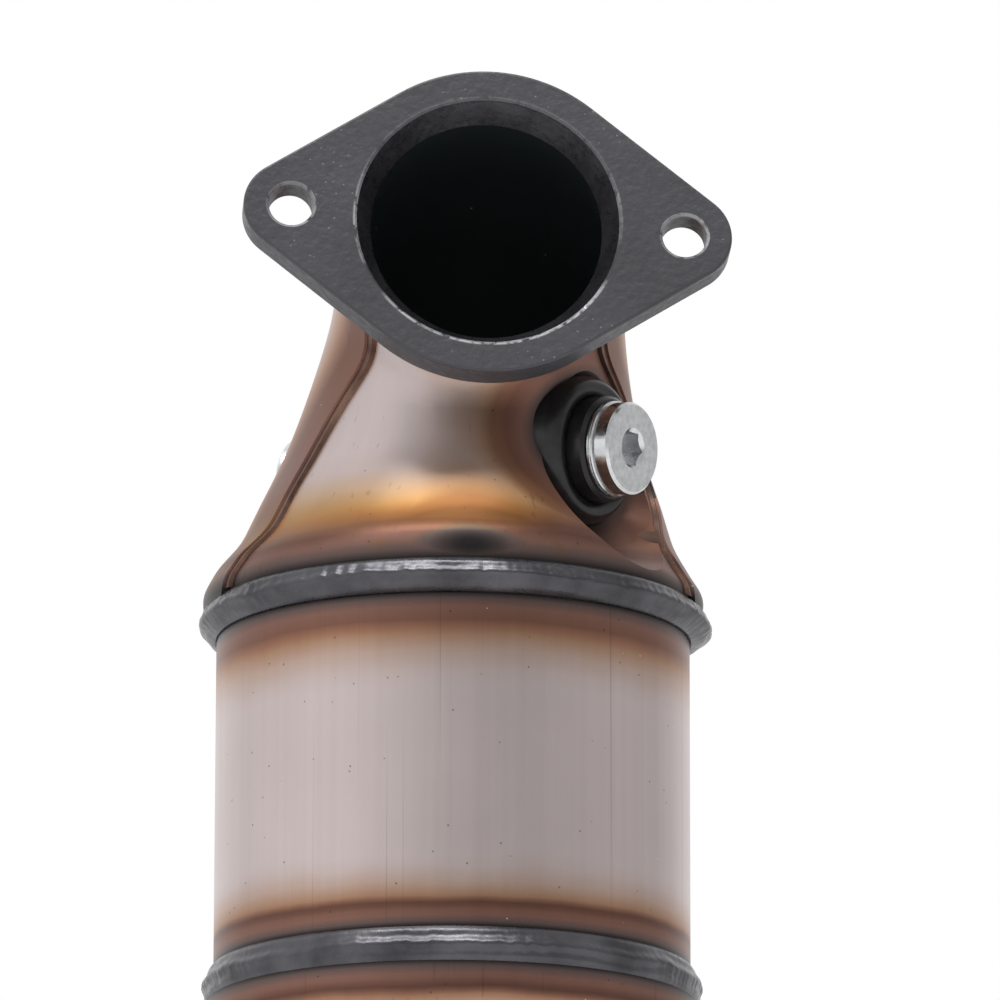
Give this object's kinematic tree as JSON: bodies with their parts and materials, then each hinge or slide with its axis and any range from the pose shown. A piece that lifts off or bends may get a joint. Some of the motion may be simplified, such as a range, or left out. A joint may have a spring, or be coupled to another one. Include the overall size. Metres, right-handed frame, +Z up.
{
  "type": "catalytic converter",
  "caption": "Exhaust catalytic converter: round can with a ceramic honeycomb, straight outlet cone, elbow inlet cone with two plugged sensor ports, and two-bolt flanges.",
  "frame": {"origin": "centre of the outlet bore, on the outlet flange's outer face, which it stands on", "axes": "+Z up the can's axis towards the inlet; the inlet flange faces -Y, 8 degrees above level; +X to the right as seen from the inlet side"},
  "size_m": [0.1256, 0.1246, 0.2962],
  "materials": {
    "coated_flange": "satin black coating over steel plate, bright where the bore's edge is worn",
    "weld": "dark oxidised weld bead with bright ridges",
    "tinted_sheet": "stainless sheet with straw, copper and brown heat tint by its welds",
    "can_sheet": "stainless sheet with fine lengthwise drawing lines and heat tint at both ends",
    "boss": "black scale over turned steel",
    "plug": "bright zinc plate",
    "washer": "dull plated steel",
    "brick": "dry washcoated ceramic",
    "mat": "fibre mat with mica flakes",
    "wire_ring": "knitted wire"
  },
  "bodies": {
    "root": {"inlet_flange": "coated_flange", "inlet_flange_inner_weld": "coated_flange", "inlet_flange_outer_weld": "weld", "inlet_cone_front_shell": "tinted_sheet", "inlet_cone_rear_shell": "tinted_sheet", "inlet_cone_seam_weld_left": "weld", "inlet_cone_seam_weld_right": "weld", "front_sensor_boss": "boss", "front_boss_weld": "boss", "front_plug_washer": "washer", "front_plug": "plug", "rear_sensor_boss": "boss", "rear_boss_weld": "boss", "rear_plug_washer": "washer", "rear_plug": "plug", "inlet_can_weld": "weld", "can_shell": "can_sheet", "can_seam_weld": "weld", "honeycomb_brick": "brick", "support_mat": "mat", "lower_mat_seal": "wire_ring", "upper_mat_seal": "wire_ring", "outlet_can_weld": "weld", "outlet_cone": "tinted_sheet", "outlet_flange_outer_weld": "weld", "outlet_flange_inner_weld": "coated_flange", "outlet_flange": "coated_flange"}
  },
  "joints": []
}
